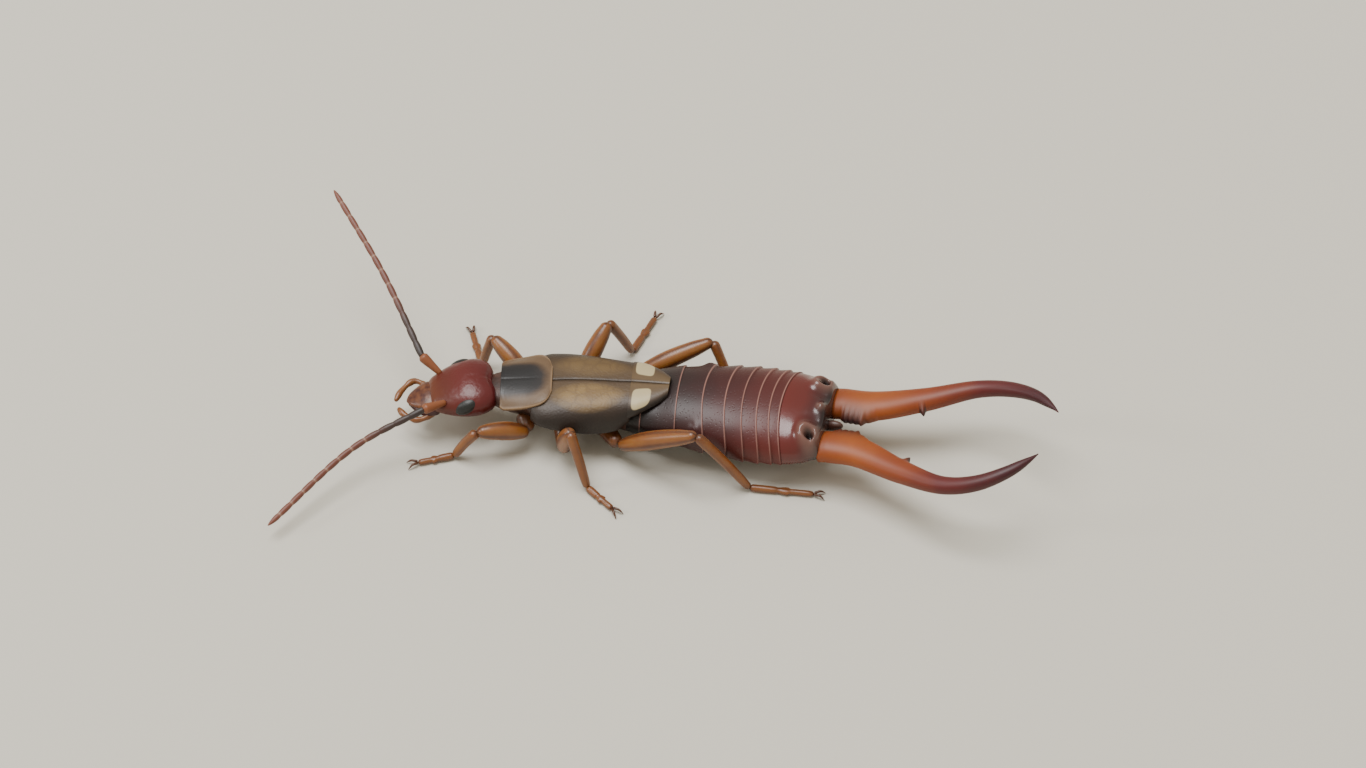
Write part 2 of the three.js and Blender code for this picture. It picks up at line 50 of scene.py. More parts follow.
def run_along(places):
    """The length covered at each point of a path: the sum of the chords up to it."""
    return np.concatenate([[0], np.cumsum(np.linalg.norm(np.diff(places, axis=0), axis=1))])


def curve(points, shares, steps=80):
    """Points at shares 0 to 1 of the length of a centripetal Catmull-Rom curve. Between b and c it is the
    cubic that leaves b and reaches c on slopes from the neighbours, with knots a root of the chord apart."""
    p = np.asarray(points, float)
    if len(p) == 2:
        return p[0] + shares[:, None] * (p[1] - p[0])
    p = np.vstack([2 * p[0] - p[1], p, 2 * p[-1] - p[-2]])
    k = np.sqrt(np.linalg.norm(np.diff(p, axis=0), axis=1))[:, None]
    a, b, c, d = p[:-3], p[1:-2], p[2:-1], p[3:]
    k0, k1, k2 = k[:-2], k[1:-1], k[2:]
    leave = ((b - a) / k0 - (c - a) / (k0 + k1) + (c - b) / k1) * k1
    reach = ((c - b) / k1 - (d - b) / (k1 + k2) + (d - c) / k2) * k1
    b, c, leave, reach = (v[:, None, :] for v in (b, c, leave, reach))
    t = np.linspace(0, 1, steps)[None, :, None]
    dense = b + leave * t + (3 * (c - b) - 2 * leave - reach) * t**2 + (2 * (b - c) + leave + reach) * t**3
    dense = dense.reshape(-1, 3)
    run = run_along(dense)
    return np.column_stack([np.interp(shares * run[-1], run, axis) for axis in dense.T])


def left_and_up(back):
    """The two directions square to back: left is level, on the animal's left, and up = left x back."""
    left = np.stack([back[..., 1], -back[..., 0], 0 * back[..., 0]], -1)
    left /= np.linalg.norm(left, axis=-1, keepdims=True)
    return left, np.cross(left, back)


def frames(places):
    """Place, left, up and back at each point of a path, where back is the slope between neighbours."""
    back = np.gradient(places, axis=0)
    back /= np.linalg.norm(back, axis=-1, keepdims=True)
    return places, *left_and_up(back), back


spine = frames(curve(SPINE, np.linspace(0, 1, 1500)))
spine_run = run_along(spine[0])


def station(s):
    """The spine's frame at s millimetres along it, read between its points and straight on past its ends."""
    s = np.asarray(s, float)
    inside = np.clip(s, 0, spine_run[-1])
    place, left, up, back = (
        np.column_stack([np.interp(inside, spine_run, axis) for axis in v.T]) for v in spine
    )
    return place + back * (s - inside)[:, None], left, up, back


def profile(rows):
    """A smooth curve through [station, value] rows: between two rows a cubic whose slope at each row is the
    rise between that row's neighbours over their distance."""
    s, v = np.array(rows, float).T
    slope = np.empty_like(v)
    slope[1:-1] = (v[2:] - v[:-2]) / (s[2:] - s[:-2])
    slope[0] = (v[1] - v[0]) / (s[1] - s[0])
    slope[-1] = (v[-1] - v[-2]) / (s[-1] - s[-2])

    def value(at):
        """The smooth step t^2 (3 - 2t) between two rows, bent by t (1 - t) times what each slope asks."""
        at = np.asarray(at, float)
        i = np.clip(np.searchsorted(s, at), 1, len(s) - 1)
        span = s[i] - s[i - 1]
        t = np.clip((at - s[i - 1]) / span, 0, 1)
        chord = v[i - 1] + (v[i] - v[i - 1]) * t * t * (3 - 2 * t)
        return chord + t * (1 - t) * span * (slope[i - 1] * (1 - t) - slope[i] * t)

    return value


def ring_angles(around):
    """The angles of the points round a ring, evenly spaced and half a step off its side."""
    return 2 * np.pi * (np.arange(around) + 0.5) / around


def ovals(at, width, top, bottom, around, square=2.0):
    """Rings round each frame. At angle a, left = width cos(a)^(2/square) and up = top or bottom times
    sin(a)^(2/square), signs kept, so 2 is an ellipse and more is squarer."""
    place, left, up = (v[:, None] for v in at[:3])
    c, s = np.cos(ring_angles(around)), np.sin(ring_angles(around))
    width, top, bottom = (v if np.ndim(v) == 2 else v[:, None] for v in (width, top, bottom))
    x = width * (np.sign(c) * np.abs(c) ** (2 / square))
    y = np.where(s > 0, top, bottom) * (np.sign(s) * np.abs(s) ** (2 / square))
    return place + left * x[..., None] + up * y[..., None]


def bands(rows, around):
    """Four-sided faces between neighbouring rings of points, each ring closed on itself."""
    i = np.arange(rows - 1)[:, None] * around
    j = np.arange(around)
    k = (j + 1) % around
    return np.stack(np.broadcast_arrays(i + j, i + around + j, i + around + k, i + k), -1).reshape(-1, 4)


def closed(rings):
    """One closed skin from rings in order: bands between neighbours and a fan from a middle point over each
    end. Columns after the first three carry painted values."""
    rows, around = rings.shape[:2]
    columns = np.vstack([rings.reshape(rows * around, -1), rings[0].mean(0), rings[-1].mean(0)])
    j = np.arange(around)
    k = (j + 1) % around
    last_ring = (rows - 1) * around
    fans = np.vstack([
        np.column_stack([np.full(around, rows * around), j, k]),
        np.column_stack([np.full(around, rows * around + 1), last_ring + k, last_ring + j]),
    ])
    return columns, bands(rows, around).tolist() + fans.tolist()


def painted(points, *values):
    """The points with each value, spread over all of them, as one more column for a material to read."""
    columns = [np.broadcast_to(v, points.shape[:-1]) for v in values]
    return np.concatenate([points, np.stack(columns, -1)], -1)


def piece(name, skins, material, nodes, paints=()):
    """A smooth-shaded mesh of one or more skins in millimetres of the spine's measure, moved to the frame in
    metres, with each extra column of the skins kept as a named attribute."""
    columns = np.vstack([points for points, _ in skins])
    starts = np.cumsum([0] + [len(points) for points, _ in skins])
    faces = [[v + start for v in face] for start, (_, skin) in zip(starts, skins) for face in skin]
    mesh = bpy.data.meshes.new(name)
    mesh.from_pydata(((columns[:, :3] - ORIGIN) * MM).tolist(), [], faces)
    mesh.shade_smooth()
    for i, paint in enumerate(paints):
        values = mesh.attributes.new(paint, "FLOAT", "POINT")
        values.data.foreach_set("value", columns[:, 3 + i].astype(np.float32))
    mesh.materials.append(material)
    mesh.update()
    made = bpy.data.objects.new(name, mesh)
    bpy.context.scene.collection.objects.link(made)
    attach(made, "root")
    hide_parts(*nodes)


def linear(colour):
    """A hex sRGB colour as linear red, green, blue and 1. Each v of 0 to 1 becomes v / 12.92 below 0.04045,
    else ((v + 0.055) / 1.055)^2.4."""
    v = np.array([int(colour[i:i + 2], 16) for i in (1, 3, 5)]) / 255
    return (*np.where(v < 0.04045, v / 12.92, ((v + 0.055) / 1.055) ** 2.4), 1.0)


def add(tree, kind, settings=None, links=None):
    """One node. Settings are its sockets or properties by name, with stops for a colour ramp as (place, hex)
    pairs. Links join other nodes' output sockets to its inputs."""
    made = tree.nodes.new(kind)
    for key, value in (settings or {}).items():
        value = linear(value) if isinstance(value, str) and value.startswith("#") else value
        if key == "stops":
            ramp = made.color_ramp.elements
            while len(ramp) < len(value):
                ramp.new(0.5)
            for stop, (place, colour) in zip(ramp, value):
                stop.position = place
                stop.color = linear(colour)
        elif isinstance(key, int) or key in made.inputs:
            made.inputs[key].default_value = value
        else:
            setattr(made, key, value)
    for key, socket in (links or {}).items():
        tree.links.new(socket, made.inputs[key])
    return made


def bare_material(name):
    """A new material, its empty tree, and the link that lays a pattern on the piece by its real place."""
    made = bpy.data.materials.new(name)
    made.use_nodes = True
    made.node_tree.nodes.clear()
    place = add(made.node_tree, "ShaderNodeTexCoord")
    return made, made.node_tree, {"Vector": place.outputs["Object"]}


def grained(tree, placed, size, detail, strength, depth):
    """A relief of noise: grains of a size and a depth in millimetres."""
    grain = add(tree, "ShaderNodeTexNoise", {"Scale": 1 / (size * MM), "Detail": detail}, placed)
    relief = add(tree, "ShaderNodeBump", {"Strength": strength, "Distance": depth * MM},
                 {"Height": grain.outputs["Fac"]})
    return relief.outputs["Normal"]


trunk_width = profile([
    [-0.4, 0.5], [-0.05, 0.66], [0.3, 0.8], [0.7, 0.86], [1.6, 0.86], [2.4, 0.98], [3.6, 1.02], [4.4, 1.12],
    [5.4, 1.42], [6.6, 1.66], [7.4, 1.8], [8.2, 1.87], [9.2, 1.84], [10.2, 1.7], [10.9, 1.51],
])
trunk_top = profile([
    [-0.4, 0.2], [-0.05, 0.32], [0.3, 0.4], [0.8, 0.42], [1.6, 0.44], [3.0, 0.5], [4.2, 0.6], [5.2, 0.74],
    [5.9, 0.9], [7.0, 0.98], [9.0, 1.02], [10.3, 0.84], [10.9, 0.62],
])
trunk_bottom = profile([
    [-0.4, 0.22], [-0.05, 0.34], [0.7, 0.52], [2.0, 0.74], [3.6, 0.78], [5.2, 0.82], [7.0, 0.82],
    [9.0, 0.76], [10.2, 0.66], [10.9, 0.46],
])

# Dark tanned cuticle: nearly black brown in blots of half a millimetre, finely wrinkled, with a dull shine.
chest_cuticle, tree, placed = bare_material("dark_tanned_cuticle")
mottle = add(tree, "ShaderNodeTexNoise", {"Scale": 1 / (0.5 * MM), "Detail": 3.0}, placed)
tone = add(tree, "ShaderNodeValToRGB", {"stops": [(0.3, "#241613"), (0.7, "#4a2a20")]},
           {0: mottle.outputs["Fac"]})
wrinkles = grained(tree, placed, size=0.09, detail=4.0, strength=0.35, depth=0.03)
skin = add(tree, "ShaderNodeBsdfPrincipled", {"Roughness": 0.42, "IOR": 1.55},
           {"Base Color": tone.outputs["Color"], "Normal": wrinkles})
add(tree, "ShaderNodeOutputMaterial", links={"Surface": skin.outputs["BSDF"]})

s = np.linspace(*CHEST, 96)
crease = 1 - CREASE["depth"] * np.cos(np.pi * (s - CREASE["first"]) / CREASE["apart"]) ** 8
chest = ovals(station(s), trunk_width(s) * crease, trunk_top(s), trunk_bottom(s) * crease, 56, SQUARE)
piece("chest", [closed(chest)], chest_cuticle, ["prothorax", "thorax"])


# Abdomen: overlapping ring plates of glossy cuticle, each with a thin pale hind rim over the next.
# Soft skin under the rims lets them slide. A scent-gland fold stands on each side of the third visible ring.
PLATE_EDGES = np.array([3.8, 4.75, 5.9, 6.75, 7.5, 8.1, 8.62, 9.07, 9.42])  # the front edge, then hind edges
HIND_EDGES = PLATE_EDGES[1:]
ABDOMEN = (3.95, 9.5)
RING_STEP = 0.055
RIM_WIDTH = 0.026
TUCK = {"from": 9.44, "depth": 0.03}  # how the last ring draws in under the plate behind it
FOLD = {"at": 6.55, "height": 0.09, "long": 0.16, "wide": 0.12, "angle": 0.62}  # radians up from the side
GIRTH = 1.3  # the trunk's usual half width, by which a rise in millimetres becomes a share
ring_bow = profile([[4.2, 0], [5.9, 0.08], [6.75, 0.24], [9.07, 0.28], [9.7, 0.2], [10.6, 0]])


def drifted(tree, placed, attribute, size, detail, share):
    """A painted attribute plus share times a noise in blots of a size in millimetres, so that a change of
    tone wanders."""
    paint = add(tree, "ShaderNodeAttribute", {"attribute_name": attribute})
    drift = add(tree, "ShaderNodeTexNoise", {"Scale": 1 / (size * MM), "Detail": detail}, placed)
    shifted = add(tree, "ShaderNodeMath", {"operation": "MULTIPLY_ADD", 1: share},
                  {0: drift.outputs["Fac"], 2: paint.outputs["Fac"]})
    return shifted.outputs[0]


def stained(tree, tone, attribute, colour):
    """The tone with a colour laid over it by a painted attribute: 0 leaves the tone, 1 is all colour."""
    paint = add(tree, "ShaderNodeAttribute", {"attribute_name": attribute})
    mixed = add(tree, "ShaderNodeMix", {"data_type": "RGBA", "B": colour},
                {"Factor": paint.outputs["Fac"], "A": tone})
    return mixed.outputs["Result"]


# Sclerotised cuticle, polished, with fine pits 0.11 mm apart: black over the front, dark cherry red behind
# and on the flanks, and pale along the thin rims.
abdomen_cuticle, tree, placed = bare_material("pitted_abdomen_cuticle")
shifted = drifted(tree, placed, "back_share", size=1.1, detail=2.0, share=0.3)
dorsal = add(tree, "ShaderNodeValToRGB", {"stops": [(0.24, "#161517"), (0.42, "#201616"), (0.7, "#331415"),
                                                    (1.0, "#471917")]}, {0: shifted})
lateral = add(tree, "ShaderNodeValToRGB", {"stops": [(0.24, "#171516"), (0.46, "#2a1414"), (0.8, "#421614"),
                                                     (1.0, "#541b16")]}, {0: shifted})
flank = add(tree, "ShaderNodeAttribute", {"attribute_name": "flank"})
tone = add(tree, "ShaderNodeMix", {"data_type": "RGBA"},
           {"Factor": flank.outputs["Fac"], "A": dorsal.outputs["Color"], "B": lateral.outputs["Color"]})
pits = add(tree, "ShaderNodeTexVoronoi", {"Scale": 1 / (0.11 * MM)}, placed)
pit_depth = add(tree, "ShaderNodeMapRange", {"From Min": 0.0, "From Max": 0.35},
                {"Value": pits.outputs["Distance"]})
relief = add(tree, "ShaderNodeBump", {"Strength": 0.25, "Distance": 0.02 * MM},
             {"Height": pit_depth.outputs[0]})
skin = add(tree, "ShaderNodeBsdfPrincipled", {"Roughness": 0.4, "IOR": 1.5, "Specular IOR Level": 0.4},
           {"Base Color": stained(tree, tone.outputs["Result"], "rim", "#946a60"),
            "Normal": relief.outputs["Normal"]})
add(tree, "ShaderNodeOutputMaterial", links={"Surface": skin.outputs["BSDF"]})

AROUND = 192
aside = np.abs(np.cos(ring_angles(AROUND)))
upward = np.sin(ring_angles(AROUND))


def ring_phase(s):
    """Each station's share of the way over its ring plate, 0 to 1, and how far ahead of the hind edge it is:
    share = (s - front edge) / (hind edge - front edge)."""
    plate = np.clip(np.searchsorted(HIND_EDGES, s), 0, len(HIND_EDGES) - 1)
    fore, hind = PLATE_EDGES[plate], HIND_EDGES[plate]
    return np.clip((s - fore) / (hind - fore), 0, 1), hind - s


def bowed(rings, s):
    """The rings with their flanks drawn backward: each point moves back along the spine by the bow at its
    station times the square of its share of the way out from the middle."""
    bow = ring_bow(s)[:, None] * aside ** (4 / SQUARE)
    return rings + station(s)[3][:, None] * bow[..., None]


close_rings = HIND_EDGES[:, None] + [-RIM_WIDTH, -RIM_WIDTH / 2, -0.004, 0.02]  # so that each edge is crisp
s = np.sort(np.concatenate([np.linspace(*ABDOMEN, 200), close_rings.ravel()]))
phase, ahead = ring_phase(s)
lift = RING_STEP * (phase**1.6 - 0.5) - TUCK["depth"] * (s > TUCK["from"])
fold_along = (s[:, None] - FOLD["at"]) / FOLD["long"]
fold_across = (aside - np.cos(FOLD["angle"])) / FOLD["wide"]
fold = FOLD["height"] * np.exp(-(fold_along**2) - fold_across**2) * (upward > 0)
swell = 1 + (lift[:, None] + fold) / GIRTH
sizes = (v(s)[:, None] * swell for v in (trunk_width, trunk_top, trunk_bottom))
rings = bowed(ovals(station(s), *sizes, AROUND, SQUARE), s)
back_paint = (s - ABDOMEN[0]) / (ABDOMEN[1] - ABDOMEN[0])
flank_paint = np.clip(1.2 * aside**1.5 - 0.2, 0, 1)
rim_paint = np.exp(-((ahead / RIM_WIDTH) ** 4)) * (ahead >= 0)
rim_paint = rim_paint[:, None] * (0.35 + 0.65 * np.clip(upward, 0, 1))
piece("abdomen", [closed(painted(rings, back_paint[:, None], flank_paint, rim_paint))],
      abdomen_cuticle, ["abdomen_front", "abdomen_rear"], ("back_share", "flank", "rim"))


# Last ring plate: a broad hard collar that holds the pincers' muscles, the thickest plate of the body.
# A pitted knob rises over the root of each pincer, with a low swelling between the two and a dark hind rim.
LAST = (9.46, 10.9)
LAST_ROUND = {"length": 0.14, "depth": 0.09}
BUMPS = [  # to the side, station, height, half width, half length
    (1.2, 10.5, 0.64, 0.35, 0.35),  # knob
    (1.16, 10.56, -0.78, 0.17, 0.22),  # pit in the knob
    (1.24, 10.78, 0.2, 0.22, 0.09),  # hind lip of the pit
    (0.0, 10.76, 0.2, 0.2, 0.17),  # swelling between the knobs
    (0.6, 10.6, -0.08, 0.2, 0.3),  # dip beside it
]
PIT = {"side": 1.16, "at": 10.56}
SWELLING = {"side": 0.0, "at": 10.72}

# The same polished cuticle, redder, near-black at the rim, with a painted pinkish-brown sheen on the knobs
# and the middle swelling, and painted shade, near-black, in their pits.
last_cuticle, tree, placed = bare_material("polished_last_plate_cuticle")
tone = add(tree, "ShaderNodeValToRGB", {"stops": [(0.0, "#5a1b17"), (0.5, "#551b18"), (0.84, "#3c1718"),
                                                  (1.0, "#1f1315")]},
           {0: drifted(tree, placed, "hind", size=0.8, detail=2.0, share=0.12)})
# Painted sheen: a pinkish-brown highlight laid over the knobs and the middle swelling.
sheen_tone = stained(tree, tone.outputs["Color"], "glass", "#7c5a50")
# Painted shade: each pit is laid near-black, where shade falls in the hollow.
pit_shade_tone = stained(tree, sheen_tone, "hollow", "#140c0d")
pits = grained(tree, placed, size=0.12, detail=2.0, strength=0.12, depth=0.02)
skin = add(tree, "ShaderNodeBsdfPrincipled",
           {"Roughness": 0.26, "IOR": 1.5, "Coat Weight": 0.15, "Coat Roughness": 0.12},
           {"Base Color": pit_shade_tone, "Normal": pits})
add(tree, "ShaderNodeOutputMaterial", links={"Surface": skin.outputs["BSDF"]})


def rounded_end(s, end, length, depth):
    """How far a skin draws in over the last length before its end: depth times 1 - sqrt(1 - u^2), where u
    goes from 0 to 1."""
    u = np.clip((s - end + length) / length, 0, 1)
    return depth * (1 - np.sqrt(1 - u**2))[:, None]


s = LAST[0] + (LAST[1] - LAST[0]) * (1 - (1 - np.linspace(0, 1, 130)) ** 1.4)  # closer towards the hind rim
from_middle = trunk_width(s)[:, None] * aside ** (2 / SQUARE)


def spot(side, at, radius):
    """Paint round one place on the upper side, and its like on the other: exp(-(distance / radius)^4)."""
    distance = np.hypot(from_middle - side, s[:, None] - at)
    return np.exp(-((distance / radius) ** 4)) * (upward > 0)


rise = sum(height * np.exp(-(((from_middle - side) / half_width) ** 2) - ((s[:, None] - at) / half_long) ** 2)
           for side, at, height, half_width, half_long in BUMPS)
rise = rise * np.clip(2.5 * upward, 0, 1)
tuck = rounded_end(s, LAST[1], **LAST_ROUND)
width, top, bottom = (v(s)[:, None] - tuck for v in (trunk_width, trunk_top, trunk_bottom))
rings = bowed(ovals(station(s), width, top + rise, bottom, AROUND, SQUARE), s)
hind_paint = (s - LAST[0]) / (LAST[1] - LAST[0])
# Where the painted sheen lies: round each knob's pit and on the middle swelling.
painted_sheen_paint = 0.75 * spot(**PIT, radius=0.42) + 0.5 * spot(**SWELLING, radius=0.17)
# The last value is the painted shade in each pit, read by the material as the hollow attribute.
rings = painted(rings, hind_paint[:, None], painted_sheen_paint, spot(**PIT, radius=0.17))
piece("last_tergite", [closed(rings)], last_cuticle, ["last_tergite"],
      ("hind", "glass", "hollow"))


# Pincers: each is one hard hollow arm of thick cuticle, broad and saw-edged at the root, round and tapering
# behind. They hinge under the last plate; a small tail plate, the pygidium, fills the notch between them.
TAIL_HEADING = (-16.5, 14.0)
ARM_POINTS = [(0, 1.02, -0.1), (1.0, 1.06, -0.2), (2.7, 1.66, -0.38), (4.35, 2.2, -0.34), (5.5, 2.15, -0.22),
              (6.5, 1.75, -0.06), (7.2, 1.2, 0.02), (7.45, 0.95, 0.04)]  # back, aside and up from the tail
ARM_REACH = {"left": 0.93, "right": 0.965}
ARM = {"start": 0.2, "spread": 0.96, "length": 8.2, "around": 48}
HIDDEN_ROOT = [0.24, 0.12]  # two rings of the arm that run on forward under the last plate
SAW = {"from": -0.1, "rise": 0.3, "to": 1.15, "fade": 0.5, "width": 0.2, "tooth": 0.045, "pitch": 0.17}
TEETH = [(0.74, 0.1, 0.06), (2.6, 0.26, 0.09)]  # along the arm, height, half length
DARK_TOOTH = 0.12  # how far either side of the large tooth its dark stain goes
arm_width = profile([[0, 0.55], [0.13, 0.55], [0.34, 0.41], [0.55, 0.3], [0.75, 0.24], [0.9, 0.16],
                     [1, 0.015]])
arm_height = profile([[0, 0.38], [0.15, 0.35], [0.35, 0.33], [0.55, 0.27], [0.75, 0.23], [0.9, 0.15],
                      [1, 0.015]])
PYGIDIUM = {"back": 0.1, "down": 0.12, "radii": (0.34, 0.15, 0.19)}

# Thick translucent cuticle: amber orange at the root, wine red to the tips, dark along the saw edge.
pincer_cuticle, tree, placed = bare_material("amber_to_wine_pincer_cuticle")
tone = add(tree, "ShaderNodeValToRGB", {"stops": [(0.1, "#7e3a12"), (0.22, "#8e4613"), (0.5, "#783213"),
                                                  (0.68, "#571a19"), (1.0, "#3a1118")]},
           {0: drifted(tree, placed, "reach", size=0.9, detail=3.0, share=0.22)})
skin = add(tree, "ShaderNodeBsdfPrincipled",
           {"Roughness": 0.46, "IOR": 1.45, "Subsurface Weight": 0.15, "Subsurface Scale": 0.2 * MM},
           {"Base Color": stained(tree, tone.outputs["Color"], "edge", "#2c1214")})
add(tree, "ShaderNodeOutputMaterial", links={"Surface": skin.outputs["BSDF"]})


def heading(yaw, rise):
    """The unit vector turned yaw degrees about the upright and raised rise degrees."""
    y, r = np.radians([yaw, rise])
    return np.array([np.cos(y) * np.cos(r), np.sin(y) * np.cos(r), np.sin(r)])


tail_root = station([LAST[1]])[0][0]
tail_back = heading(*TAIL_HEADING)
tail_axes = np.array([tail_back, *left_and_up(tail_back)])
for name, side in (("left", 1), ("right", -1)):
    reach = ARM_REACH[name]
    local = np.array(ARM_POINTS) * [reach, ARM["spread"] * side, 1] + [ARM["start"], 0, 0]
    t = np.concatenate([[0, 0], np.linspace(0, 1, 420) ** 0.97])
    places = curve(tail_root + local @ tail_axes, t)
    places[:2] -= np.outer(HIDDEN_ROOT, tail_back)
    along = t * ARM["length"] * reach
    inner = np.clip(-side * np.cos(ring_angles(ARM["around"])), 0, 1)
    flange = np.clip((SAW["to"] - along) / SAW["fade"], 0, 1) ** 0.8
    flange *= np.clip((along - SAW["from"]) / SAW["rise"], 0, 1)
    saw = flange * (SAW["width"] + SAW["tooth"] * np.abs(np.sin(np.pi * along / SAW["pitch"])))
    teeth = sum(height * np.exp(-(((along - at) / half) ** 2)) for at, height, half in TEETH)
    width = arm_width(t)[:, None] + saw[:, None] * inner**2 + teeth[:, None] * inner**9
    rings = ovals(frames(places), width, arm_height(t), arm_height(t), ARM["around"], 2.15)
    on_tooth = np.abs(along - TEETH[1][0]) < DARK_TOOTH
    dark = inner**2 * flange[:, None] + inner**6 * on_tooth[:, None]
    piece(f"pincer_{name}", [closed(painted(rings, t[:, None], dark))], pincer_cuticle,
          [f"pincer_{name}"], ("reach", "edge"))


def in_a_row(middle, axes, at):
    """Frames turned alike at distances along the first of three axes, with the other two as left and up."""
    return middle + np.outer(at, axes[0]), *(np.broadcast_to(v, (len(at), 3)) for v in axes[1:])


def ellipsoid(middle, axes, radii, count=24, around=32):
    """A closed ball stretched along three axes: rings at polar angle p, radius sin(p), from pole to pole."""
    p = np.pi * (np.arange(count) + 0.5) / count
    width, height = (np.sin(p) * radius for radius in radii[1:])
    return closed(ovals(in_a_row(middle, axes, -np.cos(p) * radii[0]), width, height, height, around))


pygidium_middle = tail_root + [PYGIDIUM["back"], 0, -PYGIDIUM["down"]] @ tail_axes
piece("pygidium", [ellipsoid(pygidium_middle, tail_axes, PYGIDIUM["radii"])],
      chest_cuticle, ["pygidium"])


# Pronotum: the shield behind the head, one stiff plate with thin glassy side flanges and a raised rim.
# It grows from the first chest ring and laps over the roots of the wing covers.
SHIELD = (0.08, 1.78)
SHIELD_THICK = 0.12
SHIELD_SKEW = 0.08
INNER_WIDTH = 0.97
SIDE_RIM = {"from": 0.93, "height": 0.03}  # share of the way out to the side, and millimetres
HIND_RIM = 1.71
FURROW = {"depth": 0.012, "width": 0.04, "to": 1.5, "fade": 1.2}
DISC = {"half_width": 0.85, "to": 1.0, "fade": 0.8}
shield_width = profile([[0.08, 0.96], [0.22, 1.06], [1.1, 1.11], [1.45, 1.05], [1.66, 0.84], [1.78, 0.5]])
shield_rise = profile([[0.2, 0.52], [0.8, 0.63], [1.5, 0.73], [1.78, 0.74]])
shield_fall = profile([[0.2, 0.32], [0.8, 0.24], [1.4, 0.1], [1.78, 0.04]])

# Thin cuticle over dark muscle: near-black disc in front, straw-coloured and glassy at the sides and behind.
shield_cuticle, tree, placed = bare_material("glassy_shield_cuticle")
tone = add(tree, "ShaderNodeValToRGB", {"stops": [(0.2, "#141316"), (0.5, "#1f1a1b"), (0.72, "#433224"),
                                                  (1.0, "#5f4a35")]},
           {0: drifted(tree, placed, "disc", size=0.35, detail=3.0, share=0.25)})
grain = grained(tree, placed, size=0.08, detail=3.0, strength=0.2, depth=0.02)
skin = add(tree, "ShaderNodeBsdfPrincipled", {"Roughness": 0.4, "IOR": 1.48},
           {"Base Color": stained(tree, tone.outputs["Color"], "rim", "#96795a"), "Normal": grain})
add(tree, "ShaderNodeOutputMaterial", links={"Surface": skin.outputs["BSDF"]})


def shell(outer, inner):
    """A closed plate from an outer and an inner grid of the same rows and columns: each row is a loop out
    along one and back along the other, and four-sided faces close the two ends."""
    rows, columns = outer.shape[:2]
    loops = np.concatenate([outer, inner[:, ::-1]], 1)
    around = 2 * columns
    j = np.arange(columns - 1)
    end = np.column_stack([around - 1 - j, around - 2 - j, j + 1, j])
    faces = np.vstack([bands(rows, around)[:, ::-1], end, end[:, ::-1] + (rows - 1) * around])
    return loops.reshape(rows * around, -1), faces.tolist()


s = np.linspace(*SHIELD, 90)
x = np.linspace(-1, 1, 90)
place, left, up, back = (v[:, None] for v in station(s))
s = s[:, None]
w = shield_width(s)
side_rim = np.clip((np.abs(x) - SIDE_RIM["from"]) / (1 - SIDE_RIM["from"]), 0, 1)
hind_rim = np.clip((s - HIND_RIM) / (SHIELD[1] - HIND_RIM), 0, 1)
furrow = FURROW["depth"] * np.exp(-((x / FURROW["width"]) ** 2))
furrow = furrow * np.clip((FURROW["to"] - s) / FURROW["fade"], 0, 1)
height = shield_rise(s) - shield_fall(s) * np.abs(x) ** 3 + SIDE_RIM["height"] * side_rim - furrow
skewed = place + back * (SHIELD_SKEW * w * x)[..., None]
outer = skewed + left * (w * x)[..., None] + up * height[..., None]
inner = skewed + left * (w * x * INNER_WIDTH)[..., None] + up * (height - SHIELD_THICK)[..., None]
disc_paint = (np.abs(x) * w / DISC["half_width"]) ** 2.5
disc_paint = np.clip(disc_paint + np.clip((s - DISC["to"]) / DISC["fade"], 0, 1) ** 1.5, 0, 1)
rim_paint = 0.6 * np.maximum(side_rim, hind_rim)
plate = shell(*(painted(face, disc_paint, rim_paint) for face in (outer, inner)))
piece("pronotum", [plate], shield_cuticle, ["pronotum"], ("disc", "rim"))


# Wing covers and wing tips: two short leathery covers that meet in a seam, and the folded hind wings' ends.
# The covers hinge on the chest under the shield; the wing tips slide out from under their hind edges.
COVER = (1.2, 4.42)
WING_TIP = (4.32, 5.58)
COVER_THICK = 0.13
SEAM = 0.006
SEAM_BEVEL = {"depth": 0.02, "width": 0.035}
WINDOW_SHARE = {"left": 1.0, "right": 0.4}  # the honey window shows less through the far cover
cover_width = profile([
    [1.2, 1.3], [1.45, 1.5], [1.7, 1.57], [2.27, 1.6], [3.05, 1.55], [3.95, 1.38], [4.42, 1.2],
])
cover_rise = profile([[1.2, 0.6], [1.8, 0.66], [2.27, 0.74], [3.05, 0.82], [3.95, 0.88], [4.42, 0.93]])
cover_drop = profile([[1.2, 0.1], [1.7, 0.06], [2.3, -0.02], [3.05, -0.1], [3.95, -0.02], [4.42, 0.3]])
tip_width = profile([[4.42, 1.18], [4.65, 1.1], [5.03, 0.88], [5.36, 0.64], [5.58, 0.42]])
tip_rise = profile([[4.42, 0.93], [5.58, 1.02]])
tip_drop = profile([[4.42, 0.46], [4.65, 0.56], [5.03, 0.68], [5.58, 0.8]])

# Leathery forewing: thin tanned cuticle, olive tan, dark brown along the seam and outer edge, with a honey
# window crossed by a faint net of veins 0.45 mm apart.
cover_leather, tree, placed = bare_material("leathery_wing_cover")
base = add(tree, "ShaderNodeValToRGB", {"stops": [(0.06, "#291e16"), (0.16, "#46341f"), (0.45, "#4f3c24"),
                                                  (0.72, "#3a2a1b"), (0.9, "#291d15"), (1.0, "#1f1611")]},
           {0: drifted(tree, placed, "across", size=0.5, detail=4.0, share=0.16)})
cells = add(tree, "ShaderNodeTexVoronoi", {"Scale": 1 / (0.45 * MM), "feature": "DISTANCE_TO_EDGE"}, placed)
honey = add(tree, "ShaderNodeValToRGB", {"stops": [(0.0, "#6e5531"), (0.12, "#7c6238"), (1.0, "#8a6e43")]},
            {0: cells.outputs["Distance"]})
window = add(tree, "ShaderNodeAttribute", {"attribute_name": "window"})
